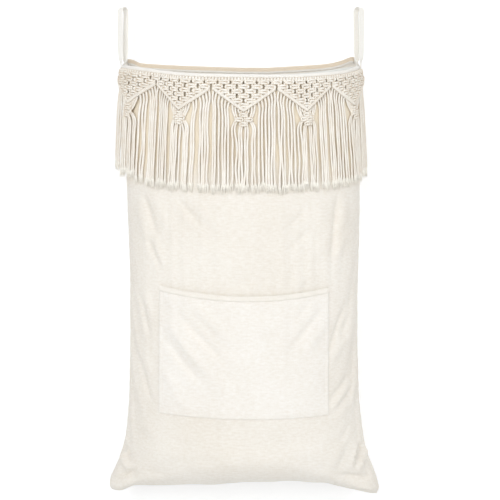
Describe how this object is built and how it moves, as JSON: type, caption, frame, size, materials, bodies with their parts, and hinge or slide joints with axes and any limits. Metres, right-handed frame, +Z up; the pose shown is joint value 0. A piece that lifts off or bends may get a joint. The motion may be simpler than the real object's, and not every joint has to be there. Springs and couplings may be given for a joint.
{
  "type": "hanging laundry hamper",
  "caption": "Canvas laundry sack hung on two fabric loops, with an open D-shaped mouth, a patch pocket and a knotted macrame valance with fringe.",
  "frame": {"origin": "on the door's face, midway between the two hook seats, at their height", "axes": "+X to the right seen from the front, +Y into the door, +Z up"},
  "size_m": [0.5382, 0.2261, 0.9734],
  "materials": {
    "canvas": "plain-woven undyed cotton canvas, matt",
    "pocket_canvas": "the same canvas, a little brighter, matt",
    "hem_tape": "folded canvas hem, matt",
    "loop_strap": "narrow cotton strap, matt",
    "macrame_cord": "twisted undyed cotton cord, matt",
    "stay_plastic": "flat plastic stay, matt"
  },
  "bodies": {
    "hanging_loops": {"left_hanging_loop": "loop_strap", "right_hanging_loop": "loop_strap"},
    "bag": {"front_panel": "canvas", "back_panel": "canvas", "front_hem": "hem_tape", "back_hem": "hem_tape", "mouth_stay": "stay_plastic", "pocket_panel": "pocket_canvas", "pocket_hem": "pocket_canvas", "left_strap_outer_end": "loop_strap", "left_strap_inner_end": "loop_strap", "right_strap_outer_end": "loop_strap", "right_strap_inner_end": "loop_strap", "valance_header": "macrame_cord", "top_knot_row": "macrame_cord"},
    "point_1": {"knot_net_1": "macrame_cord", "left_fringe_1": "macrame_cord", "right_fringe_1": "macrame_cord", "apex_knots_1": "macrame_cord"},
    "point_2": {"knot_net_2": "macrame_cord", "left_fringe_2": "macrame_cord", "right_fringe_2": "macrame_cord", "apex_knots_2": "macrame_cord"},
    "point_3": {"knot_net_3": "macrame_cord", "left_fringe_3": "macrame_cord", "right_fringe_3": "macrame_cord", "apex_knots_3": "macrame_cord"},
    "point_4": {"knot_net_4": "macrame_cord", "left_fringe_4": "macrame_cord", "right_fringe_4": "macrame_cord", "apex_knots_4": "macrame_cord"},
    "point_5": {"knot_net_5": "macrame_cord", "left_fringe_5": "macrame_cord", "right_fringe_5": "macrame_cord", "apex_knots_5": "macrame_cord"}
  },
  "joints": [
    {"name": "bag_swing", "type": "hinge", "parent": "hanging_loops", "child": "bag", "pos_m": [0, -0.063, -0.09385], "axis": [-1, 0, 0], "range_deg": [0, 20]},
    {"name": "point_1_lift", "type": "hinge", "parent": "bag", "child": "point_1", "pos_m": [-0.2242, -0.1004, -0.1483], "axis": [-0.6379, 0.7479, 0.1835], "range_deg": [0, 70]},
    {"name": "point_2_lift", "type": "hinge", "parent": "bag", "child": "point_2", "pos_m": [-0.1212, -0.1674, -0.1704], "axis": [-0.9185, 0.367, 0.147], "range_deg": [0, 70]},
    {"name": "point_3_lift", "type": "hinge", "parent": "bag", "child": "point_3", "pos_m": [0, -0.1926, -0.1797], "axis": [-1, 0, 0], "range_deg": [0, 70]},
    {"name": "point_4_lift", "type": "hinge", "parent": "bag", "child": "point_4", "pos_m": [0.1212, -0.1674, -0.1704], "axis": [-0.9185, -0.367, -0.147], "range_deg": [0, 70]},
    {"name": "point_5_lift", "type": "hinge", "parent": "bag", "child": "point_5", "pos_m": [0.2242, -0.1004, -0.1483], "axis": [-0.6379, -0.7479, -0.1835], "range_deg": [0, 70]}
  ]
}
